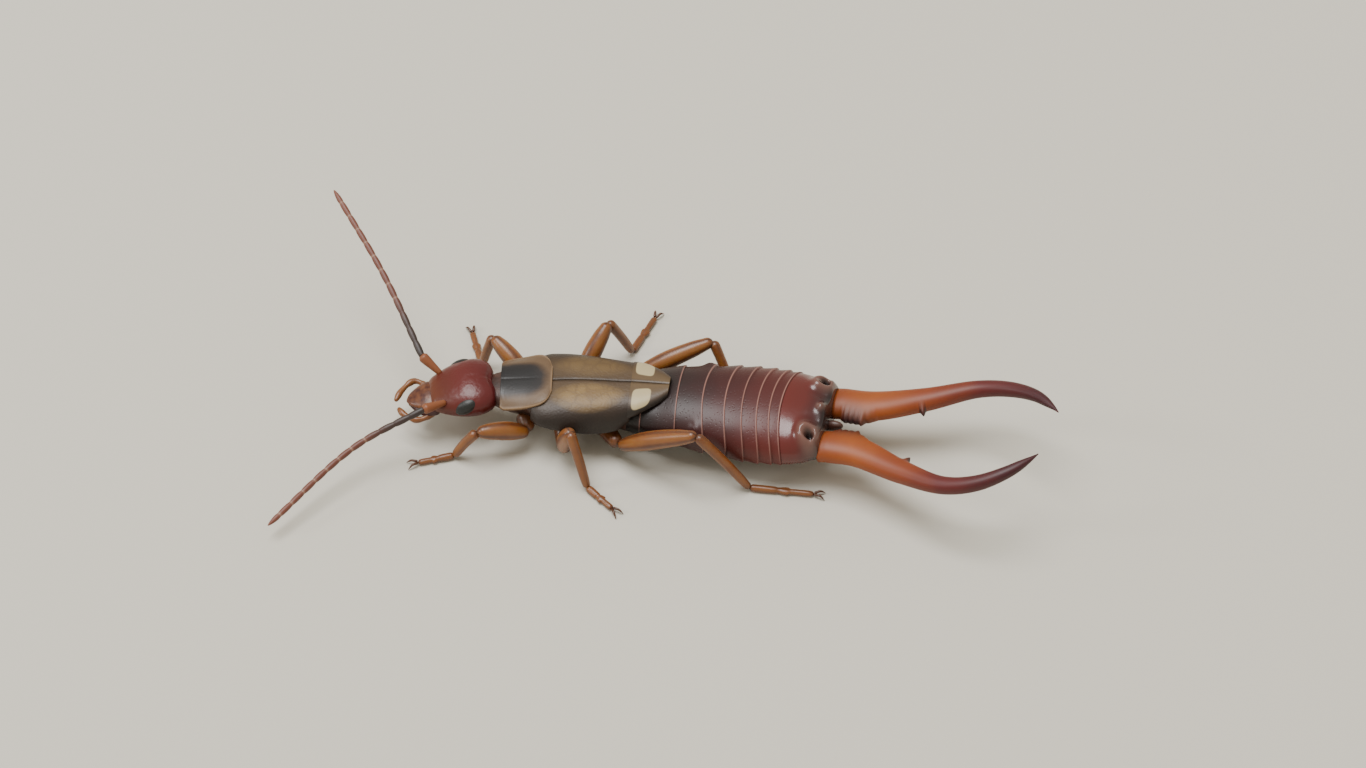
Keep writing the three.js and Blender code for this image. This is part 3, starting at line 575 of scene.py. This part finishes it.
tone = add(tree, "ShaderNodeMix", {"data_type": "RGBA"},
           {"Factor": window.outputs["Fac"], "A": base.outputs["Color"], "B": honey.outputs["Color"]})
grain = grained(tree, placed, size=0.07, detail=4.0, strength=0.35, depth=0.03)
skin = add(tree, "ShaderNodeBsdfPrincipled", {"Roughness": 0.46, "IOR": 1.48},
           {"Base Color": tone.outputs["Result"], "Normal": grain})
add(tree, "ShaderNodeOutputMaterial", links={"Surface": skin.outputs["BSDF"]})

# Folded wing end: stiff panel with a dull shine, a cream patch in a tan field with a smoky outer edge.
wing_panel, tree, placed = bare_material("folded_wing_panel")
base = add(tree, "ShaderNodeValToRGB", {"stops": [(0.06, "#33261a"), (0.2, "#5c482e"), (0.6, "#52402a"),
                                                  (0.85, "#43352a"), (1.0, "#241d19")]},
           {0: drifted(tree, placed, "across", size=0.4, detail=3.0, share=0.14)})
grain = grained(tree, placed, size=0.09, detail=3.0, strength=0.15, depth=0.02)
skin = add(tree, "ShaderNodeBsdfPrincipled", {"Roughness": 0.42, "IOR": 1.48},
           {"Base Color": stained(tree, base.outputs["Color"], "window", "#ae9f79"), "Normal": grain})
add(tree, "ShaderNodeOutputMaterial", links={"Surface": skin.outputs["BSDF"]})


def wing_plate(side, span, width, rise, drop, window, columns=70, rows=80):
    """A plate from the seam to its outer edge. With q from 0 to 1, left = width sin(90 q) and up falls from
    rise to drop as (1 - share^4)^0.6, where share is left over width, less a small bevel at the seam. The
    inner face is the same, one thickness in."""
    s = np.linspace(*span, rows)
    q = np.linspace(0, 1, columns)
    place, left, up = (v[:, None] for v in station(s)[:3])
    w, high, low = (v(s)[:, None] for v in (width, rise, drop))
    grids = []
    for inset in (0.0, COVER_THICK):
        x = SEAM + (w - inset - SEAM) * np.sin(q * np.pi / 2)
        share = np.clip(x / (w - inset), 0, 1)
        bevel = SEAM_BEVEL["depth"] * np.exp(-(((x - SEAM) / SEAM_BEVEL["width"]) ** 2))
        y = low + (high - inset - low) * (1 - share**4) ** 0.6 - bevel
        grids.append(place + left * (side * x)[..., None] + up * y[..., None])
    outer, inner = (painted(grid, share, window(s[:, None], share))[:, ::side] for grid in grids)
    return shell(outer, inner)


def honey_window(s, share):
    """The clear patch of a cover: 0.85 times 1.4 - d^2, held to 0 and 1, where d is 1 on an oval about 3 mm
    along the trunk, 1.05 mm long and 0.32 of the width either way."""
    inside = ((s - 3.0) / 1.05) ** 2 + ((share - 0.44) / 0.32) ** 2
    return np.clip(1.4 - inside, 0, 1) * 0.85


def cream_patch(s, share):
    """The pale patch of a wing tip: 4 times 1.15 - d^4, held to 0 and 1, where d is 1 at the edge of a
    rounded square about 0.6 mm along and 0.64 of the width across."""
    inside = ((s - 4.72) / 0.3) ** 4 + ((share - 0.6) / 0.32) ** 4
    return np.clip((1.15 - inside) * 4, 0, 1)


for name, side in (("left", 1), ("right", -1)):
    cover = wing_plate(side, COVER, cover_width, cover_rise, cover_drop,
                       lambda s, share: honey_window(s, share) * WINDOW_SHARE[name])
    piece(f"tegmen_{name}", [cover], cover_leather, [f"tegmen_{name}"], ("across", "window"))
    tip = wing_plate(side, WING_TIP, tip_width, tip_rise, tip_drop, cream_patch)
    piece(f"wing_tip_{name}", [tip], wing_panel, [f"wing_tip_{name}"], ("across", "window"))


# Head: a flat heart-shaped capsule of hard chestnut cuticle, widest behind the eyes, with a faint seam on its
# crown. It swings on a soft neck, and carries the feelers' sockets before the eyes and the mouth in front.
NECK = np.array([0.08, 0.36, 1.57])
HEAD_HEADING = (9, 5)  # of its back, in degrees round and up
HEAD_LENGTH = 2.2
FRONT_ROUND = {"length": 0.2, "depth": 0.14}
CROWN_SEAM = {"depth": 0.02, "width": 0.03, "to": 1.0, "fade": 0.4}
NAPE = {"depth": 0.16, "width": 0.4, "length": 0.3}
head_width = profile([[0, 0.5], [0.14, 0.85], [0.5, 1.08], [0.9, 1.1], [1.35, 1.02], [1.75, 0.87],
                      [2.2, 0.62]])
head_top = profile([[0, 0.3], [0.2, 0.46], [0.85, 0.6], [1.5, 0.48], [2.2, 0.24]])
head_bottom = profile([[0, 0.3], [0.3, 0.46], [1.0, 0.52], [2.2, 0.26]])
head_back = heading(*HEAD_HEADING)
head_left, head_up = left_and_up(head_back)
head_axes = np.array([-head_back, head_left, head_up])


def eased(count):
    """Shares from 0 to 1 that crowd at both ends: (1 - cos(180 u)) / 2 with u even."""
    return (1 - np.cos(np.pi * np.linspace(0, 1, count))) / 2


def on_head(forward, left, up):
    """A point of the head from the neck: forward, to the animal's left and up, in millimetres."""
    return NECK + np.array([forward, left, up]) @ head_axes


# Hard tanned cuticle: glossy mahogany red, amber towards the mouth, in soft dimples 0.16 mm across.
head_cuticle, tree, placed = bare_material("mahogany_head_cuticle")
tone = add(tree, "ShaderNodeValToRGB", {"stops": [(0.1, "#521a1b"), (0.6, "#581e1c"), (0.85, "#54231b"),
                                                  (1.0, "#5c2e1d")]},
           {0: drifted(tree, placed, "front", size=0.45, detail=3.0, share=0.15)})
dimples = grained(tree, placed, size=0.16, detail=5.0, strength=0.4, depth=0.04)
skin = add(tree, "ShaderNodeBsdfPrincipled", {"Roughness": 0.3, "IOR": 1.5, "Specular IOR Level": 0.4},
           {"Base Color": tone.outputs["Color"], "Normal": dimples})
add(tree, "ShaderNodeOutputMaterial", links={"Surface": skin.outputs["BSDF"]})

f = HEAD_LENGTH * eased(120)[::-1]  # from the mouth back to the neck, as the trunk's rings run
from_crown = aside * head_width(f)[:, None]
seam = CROWN_SEAM["depth"] * np.exp(-((from_crown / CROWN_SEAM["width"]) ** 2)) * (upward > 0)
seam = seam * np.clip((CROWN_SEAM["to"] - f) / CROWN_SEAM["fade"], 0, 1)[:, None]
width, top, bottom = (v(f)[:, None] - rounded_end(f, HEAD_LENGTH, **FRONT_ROUND)
                      for v in (head_width, head_top, head_bottom))
rings = ovals(in_a_row(NECK, head_axes, f), width, top - seam, bottom, AROUND, 2.3)
notch = NAPE["depth"] * np.exp(-((from_crown / NAPE["width"]) ** 2) - (f[:, None] / NAPE["length"]) ** 2)
rings = painted(rings - head_back * notch[..., None], f[:, None] / HEAD_LENGTH)
piece("head", [closed(rings)], head_cuticle, ["head"], ("front",))


# Compound eyes: smooth oval domes packed with tiny lenses, set into the sides of the head.
# The lens mesh is drawn three times coarser than life, so that it shows.
EYE = {"forward": 1.08, "side": 0.84, "up": 0.13, "tilt": 20}
EYE_RADII = (0.44, 0.28, 0.26)  # lengthways, out and up

# Clear cuticle over black: near-black with a soft sheen, each lens a small dome.
eye_lenses, tree, placed = bare_material("faceted_eye_lenses")
lens = add(tree, "ShaderNodeTexVoronoi", {"Scale": 1 / (0.055 * MM)}, placed)
tone = add(tree, "ShaderNodeValToRGB", {"stops": [(0.0, "#1e2120"), (0.6, "#151716"), (1.0, "#0b0c0c")]},
           {0: lens.outputs["Distance"]})
relief = add(tree, "ShaderNodeBump", {"Strength": 0.3, "Distance": 0.01 * MM, "invert": True},
             {"Height": lens.outputs["Distance"]})
skin = add(tree, "ShaderNodeBsdfPrincipled", {"Roughness": 0.42, "IOR": 1.5},
           {"Base Color": tone.outputs["Color"], "Normal": relief.outputs["Normal"]})
add(tree, "ShaderNodeOutputMaterial", links={"Surface": skin.outputs["BSDF"]})

tilt = np.radians(EYE["tilt"])
eye_axes = (head_back * np.cos(tilt) + head_up * np.sin(tilt), head_left,
            head_up * np.cos(tilt) - head_back * np.sin(tilt))
for name, side in (("left", 1), ("right", -1)):
    middle = on_head(EYE["forward"], side * EYE["side"], EYE["up"])
    piece(f"eye_{name}", [ellipsoid(middle, eye_axes, EYE_RADII, 40, 56)], eye_lenses,
          [f"eye_{name}"])


# Feelers: a stout first joint, a short second and twelve beads, each swelling a little towards its far end.
# Thin tanned cuticle with short down; soft pale rings join the beads.
FEELER_ROOT = {"forward": 1.8, "side": 0.7, "up": 0.3}
FEELERS = {
    "left": {"scape": (215, 12), "mid": (-4.4, -2.1, 1.25), "tip": (-7.0, -4.85, 0.62)},
    "right": {"scape": (147, 30), "mid": (-3.75, 3.9, 3.1), "tip": (-5.5, 6.75, 4.15)},
}
SCAPE = {"length": 0.75, "sunk": 0.12, "overlap": 0.04}
WHIP = {"beads": 12, "rings": 16, "radius": 0.105, "thinning": 0.18, "tip": 0.004, "around": 20}
END_FLAT = 0.08
scape_radius = profile([[0, 0.09], [0.4, 0.13], [0.85, 0.17], [1, 0.14]])

# Amber cuticle on the first joint, near-black on the next, then red brown with paler joints, all downy.
feeler_cuticle, tree, placed = bare_material("downy_feeler_cuticle")
reach_share = add(tree, "ShaderNodeAttribute", {"attribute_name": "reach"})
tone = add(tree, "ShaderNodeValToRGB", {"stops": [(0.0, "#7c4524"), (0.09, "#633820"), (0.13, "#251b19"),
                                                  (0.3, "#38231d"), (0.42, "#5e3023"), (1.0, "#6e3a2a")]},
           {0: reach_share.outputs["Fac"]})
down = grained(tree, placed, size=0.05, detail=2.0, strength=0.4, depth=0.01)
skin = add(tree, "ShaderNodeBsdfPrincipled", {"Roughness": 0.48, "IOR": 1.55},
           {"Base Color": stained(tree, tone.outputs["Color"], "joint", "#8d6a58"), "Normal": down})
add(tree, "ShaderNodeOutputMaterial", links={"Surface": skin.outputs["BSDF"]})


def limb(points, radius, count=40, around=20, height=None):
    """A round-ended tube along a curve. At share t its half width is radius(t) times a quarter-circle rise
    within one radius of either end, and its half height the same with height(t). A small flat closes each
    end, so that no face shrinks to nothing."""
    t = eased(count)
    places = curve(points, t)
    run = run_along(places)
    ends = np.clip([run / radius(0.0), (run[-1] - run) / radius(1.0)], 0, 1)
    cap = np.maximum(np.sqrt(1 - (1 - ends) ** 2).prod(0), END_FLAT)
    high = (height or radius)(t) * cap
    return ovals(frames(places), radius(t) * cap, high, high, around)


for name, side in (("left", 1), ("right", -1)):
    feeler = FEELERS[name]
    root = on_head(FEELER_ROOT["forward"], side * FEELER_ROOT["side"], FEELER_ROOT["up"])
    along = heading(*feeler["scape"])
    elbow = root + along * SCAPE["length"]
    scape = limb([root - along * SCAPE["sunk"], elbow + along * SCAPE["overlap"]], scape_radius)
    t = np.linspace(0, 1, WHIP["beads"] * WHIP["rings"] + 1)
    bead = (t * WHIP["beads"]) % 1
    places = curve([elbow - along * SCAPE["overlap"] / 2, feeler["mid"], feeler["tip"]], t)
    swell = 0.72 + 0.34 * np.sin(np.pi * (bead * 0.92 + 0.04)) ** 0.5 + 0.06 * bead
    taper = np.clip((1 - t) * WHIP["beads"] * 1.3, 0, 1) ** 0.5
    radius = WHIP["radius"] * swell * taper * (1 - WHIP["thinning"] * t) + WHIP["tip"]
    whip = ovals(frames(places), radius, radius, radius, WHIP["around"])
    joint_paint = np.abs(2 * bead - 1) ** 8 * (t > 0.3)
    scape = painted(scape, 0, 0)
    whip = painted(whip, 0.12 + 0.88 * t[:, None], joint_paint[:, None])
    piece(f"antenna_{name}", [closed(scape), closed(whip)], feeler_cuticle,
          [f"antenna_{name}_scape", f"antenna_{name}_whip"], ("reach", "joint"))


# Mouth: an upper lip over two crossing jaws, and a jointed palp on each side that feels for food.
# Amber cuticle, hinged on the front rim of the head.
LIP = [(1.7, 0, 0.0), (2.4, 0, -0.01), (2.98, 0, -0.08)]  # forward, left and up from the neck
JAW = [(1.9, 0.5, -0.16), (2.5, 0.4, -0.2), (2.92, 0.04, -0.16)]
PALPS = {
    "left": [(2.1, 0.5, -0.32), (2.7, 0.66, -0.34), (3.1, 0.42, -0.28), (3.3, 0.1, -0.22)],
    "right": [(2.1, -0.5, -0.3), (2.65, -0.9, -0.18), (3.1, -0.6, -0.2), (3.36, -0.22, -0.24)],
}
lip_width = profile([[0, 0.72], [0.45, 0.6], [0.8, 0.36], [1, 0.14]])
lip_height = profile([[0, 0.28], [0.5, 0.2], [0.85, 0.11], [1, 0.05]])
jaw_radius = profile([[0, 0.22], [0.5, 0.18], [1, 0.05]])
palp_radius = profile([[0, 0.08], [0.2, 0.11], [0.3, 0.085], [0.5, 0.115], [0.6, 0.085], [0.85, 0.11],
                       [1, 0.06]])

# Cuticle of the lip and jaws: amber brown in blots of 0.2 mm, with the biting jaws dark red.
mouth_cuticle, tree, placed = bare_material("amber_mouth_cuticle")
drift = add(tree, "ShaderNodeTexNoise", {"Scale": 1 / (0.2 * MM), "Detail": 3.0}, placed)
tone = add(tree, "ShaderNodeValToRGB", {"stops": [(0.35, "#3f1812"), (0.55, "#5f351f"), (0.75, "#754627")]},
           {0: drift.outputs["Fac"]})
grain = grained(tree, placed, size=0.08, detail=3.0, strength=0.3, depth=0.02)
skin = add(tree, "ShaderNodeBsdfPrincipled", {"Roughness": 0.35, "IOR": 1.5},
           {"Base Color": stained(tree, tone.outputs["Color"], "jaw", "#3a1214"), "Normal": grain})
add(tree, "ShaderNodeOutputMaterial", links={"Surface": skin.outputs["BSDF"]})

lip = limb([on_head(*p) for p in LIP], lip_width, 60, 48, lip_height)
skins = [closed(painted(lip, 0))]
for side in (1, -1):
    jaw = limb([on_head(forward, side * left, up) for forward, left, up in JAW], jaw_radius, 50, 28)
    skins.append(closed(painted(jaw, 1)))
piece("mouth", skins, mouth_cuticle, ["mouth"], ("jaw",))

# Limb cuticle: translucent amber with darker lengthwise lines where the muscles show through.
limb_cuticle, tree, placed = bare_material("amber_limb_cuticle")
tone = add(tree, "ShaderNodeValToRGB", {"stops": [(0.1, "#8a5824"), (0.35, "#794820"), (0.7, "#56301a"),
                                                  (1.0, "#371f12")]},
           {0: drifted(tree, placed, "line", size=0.5, detail=3.0, share=0.45)})
grain = grained(tree, placed, size=0.06, detail=2.0, strength=0.25, depth=0.01)
skin = add(tree, "ShaderNodeBsdfPrincipled",
           {"Roughness": 0.35, "IOR": 1.55, "Subsurface Weight": 0.2, "Subsurface Scale": 0.15 * MM},
           {"Base Color": tone.outputs["Color"], "Normal": grain})
add(tree, "ShaderNodeOutputMaterial", links={"Surface": skin.outputs["BSDF"]})

for name, points in PALPS.items():
    palp = limb([on_head(*p) for p in points], palp_radius, 60, 20)
    piece(f"palp_{name}", [closed(painted(palp, 0.15))], limb_cuticle, [f"palp_{name}"],
          ("line",))


# Legs: hip, stout thigh, thin shin and a three-jointed foot with two claws, alike in all three pairs.
# Thin amber cuticle tubes joined by soft skin; each foot stands on the floor along its sole.
LEGS = {
    "front_left": {"root": (0.95, -0.3, 0.95), "hip": (1.15, -0.98, 0.72), "knee": (-0.49, -1.52, 1.3),
                   "ankle": (-1.28, -1.49), "foot": (194, 1.2)},
    "front_right": {"root": (0.95, 0.6, 0.95), "hip": (1.1, 1.2, 0.8), "knee": (-0.12, 2.41, 1.6),
                    "ankle": (-0.55, 2.5), "foot": (105, 1.55)},
    "middle_left": {"root": (2.2, -0.35, 0.9), "hip": (2.3, -1.5, 0.5), "knee": (2.55, -2.2, 2.08),
                    "ankle": (3.08, -2.85), "foot": (313, 1.2)},
    "middle_right": {"root": (2.5, 0.45, 0.9), "hip": (2.75, 1.5, 0.55), "knee": (3.71, 2.78, 1.9),
                     "ankle": (4.46, 3.11), "foot": (64, 1.75)},
    "hind_left": {"root": (3.4, -0.55, 0.85), "hip": (4.1, -1.6, 0.75), "knee": (6.6, -2.62, 2.38),
                  "ankle": (8.31, -2.86), "foot": (353, 2.1)},
    "hind_right": {"root": (3.5, 0.45, 0.85), "hip": (4.5, 1.4, 0.75), "knee": (7.16, 2.13, 1.7),
                   "ankle": (7.85, 1.3), "foot": (8, 2.1)},
}
SOLE = 0.13
LEG_AROUND = 28
BOW = np.array([0, 0, 0.06])  # how far thigh and shin arch up at their middle
TOE_DROP = np.array([0, 0, 0.02])
CLAW = [(0, 0.03, 0), (0.2, 0.1, 0.03), (0.36, 0.16, 0.03 - SOLE)]  # ahead, aside and up from the toe
hip_radius = profile([[0, 0.34], [1, 0.22]])
thigh_radius = profile([[0, 0.15], [0.12, 0.24], [0.4, 0.31], [0.75, 0.27], [0.93, 0.2], [1, 0.17]])
shin_radius = profile([[0, 0.13], [0.08, 0.17], [0.3, 0.165], [0.8, 0.15], [1, 0.12]])
foot_width = profile([[0, 0.11], [0.1, 0.125], [0.4, 0.12], [0.44, 0.1], [0.5, 0.13], [0.6, 0.15],
                      [0.63, 0.1], [0.75, 0.1], [0.95, 0.1], [1, 0.07]])
foot_height = profile([[0, 0.11], [0.1, 0.125], [0.4, 0.115], [0.44, 0.095], [0.55, 0.1], [0.62, 0.09],
                       [0.9, 0.095], [1, 0.06]])
claw_radius = profile([[0, 0.05], [0.6, 0.035], [1, 0.008]])

stripe = np.abs(np.cos(2 * ring_angles(LEG_AROUND))) ** 8
for name, leg in LEGS.items():
    root, hip, knee = (np.array(leg[key]) for key in ("root", "hip", "knee"))
    ankle = np.array([*leg["ankle"], SOLE])
    foot_yaw, foot_length = leg["foot"]
    way = heading(foot_yaw, 0)
    foot_axes = np.array([way, (-way[1], way[0], 0), (0, 0, 1)])
    toe = ankle + way * foot_length
    tubes = [  # points, half width, half height, shade, strength of the stripes, rings
        ([root, hip], hip_radius, None, 0.3, 0.2, 24),
        ([hip, (hip + knee) / 2 + BOW, knee], thigh_radius, None, 0.0, 0.5, 60),
        ([knee, (knee + ankle) / 2 + BOW, ankle], shin_radius, None, 0.1, 0.2, 50),
        ([ankle, toe - TOE_DROP], foot_width, foot_height, 0.15, 0.2, 70),
    ]
    skins = []
    for points, radius, high, shade, stripes, count in tubes:
        tube = limb(points, radius, count, LEG_AROUND, high)
        ends = 0.35 * np.abs(2 * eased(count) - 1) ** 12
        skins.append(closed(painted(tube, shade + stripes * stripe + ends[:, None])))
    for side in (-1, 1):
        claw = limb(toe + CLAW * np.array([1, side, 1]) @ foot_axes, claw_radius, 24, 10)
        skins.append(closed(painted(claw, 0.6)))
    piece(f"leg_{name}", skins, limb_cuticle,
          [f"leg_{name}_{node}" for node in ("coxa", "femur", "tibia", "foot")], ("line",))


# Studio: a plain pale floor, a small soft lamp almost overhead, a weak one by the head and pale light from
# all round. The camera looks down at the animal's left side, nearly square to it.
FLOOR = 0.8
LAMPS = [  # name, place in metres, size in metres, watts
    ("overhead_lamp", (-0.07, 0.03, 0.34), 0.2, 1.5),
    ("head_lamp", (-0.2, -0.03, 0.12), 0.05, 0.12),
]
CAMERA = {"aim": (6.17, 1.756, 0.0), "elevation": 48.0, "distance": 100.0, "focal_px": 3000.0,
          "frame_px": 1366.0, "sensor": 36.0}

# Matt paper: pale grey with a faint tooth.
pale_paper, tree, placed = bare_material("pale_studio_paper")
tooth = grained(tree, placed, size=0.4, detail=3.0, strength=0.05, depth=0.02)
skin = add(tree, "ShaderNodeBsdfPrincipled", {"Base Color": "#c9c5ba", "Roughness": 0.9}, {"Normal": tooth})
add(tree, "ShaderNodeOutputMaterial", links={"Surface": skin.outputs["BSDF"]})
floor_mesh = bpy.data.meshes.new("studio_floor")
corners = [(-FLOOR, -FLOOR, 0), (FLOOR, -FLOOR, 0), (FLOOR, FLOOR, 0), (-FLOOR, FLOOR, 0)]
floor_mesh.from_pydata(corners, [], [(0, 1, 2, 3)])
floor_mesh.materials.append(pale_paper)
studio_floor = bpy.data.objects.new("studio_floor", floor_mesh)
bpy.context.scene.collection.objects.link(studio_floor)

for name, stand, size, watts in LAMPS:
    lamp = bpy.data.objects.new(name, bpy.data.lights.new(name, "AREA"))
    lamp.data.size = size
    lamp.data.energy = watts
    lamp.location = stand
    x, y, z = stand
    lamp.rotation_euler = (np.arctan2(np.hypot(x, y), z), 0, np.arctan2(y, x) + np.pi / 2)
    bpy.context.scene.collection.objects.link(lamp)
studio = bpy.data.worlds.new("soft_studio")
studio.use_nodes = True
background = studio.node_tree.nodes["Background"]
background.inputs["Color"].default_value = linear("#efe7d6")
background.inputs["Strength"].default_value = 0.75
bpy.context.scene.world = studio

camera = bpy.data.objects.new("camera", bpy.data.cameras.new("camera"))
rise = np.radians(CAMERA["elevation"])
sight = np.array([0, np.cos(rise), -np.sin(rise)])
camera.location = (np.array(CAMERA["aim"]) - ORIGIN - sight * CAMERA["distance"]) * MM
camera.rotation_euler = (np.pi / 2 - rise, 0, 0)
camera.data.sensor_width = CAMERA["sensor"]
camera.data.lens = CAMERA["focal_px"] / CAMERA["frame_px"] * CAMERA["sensor"]
camera.data.clip_start = 0.001
bpy.context.scene.collection.objects.link(camera)
bpy.context.scene.camera = camera
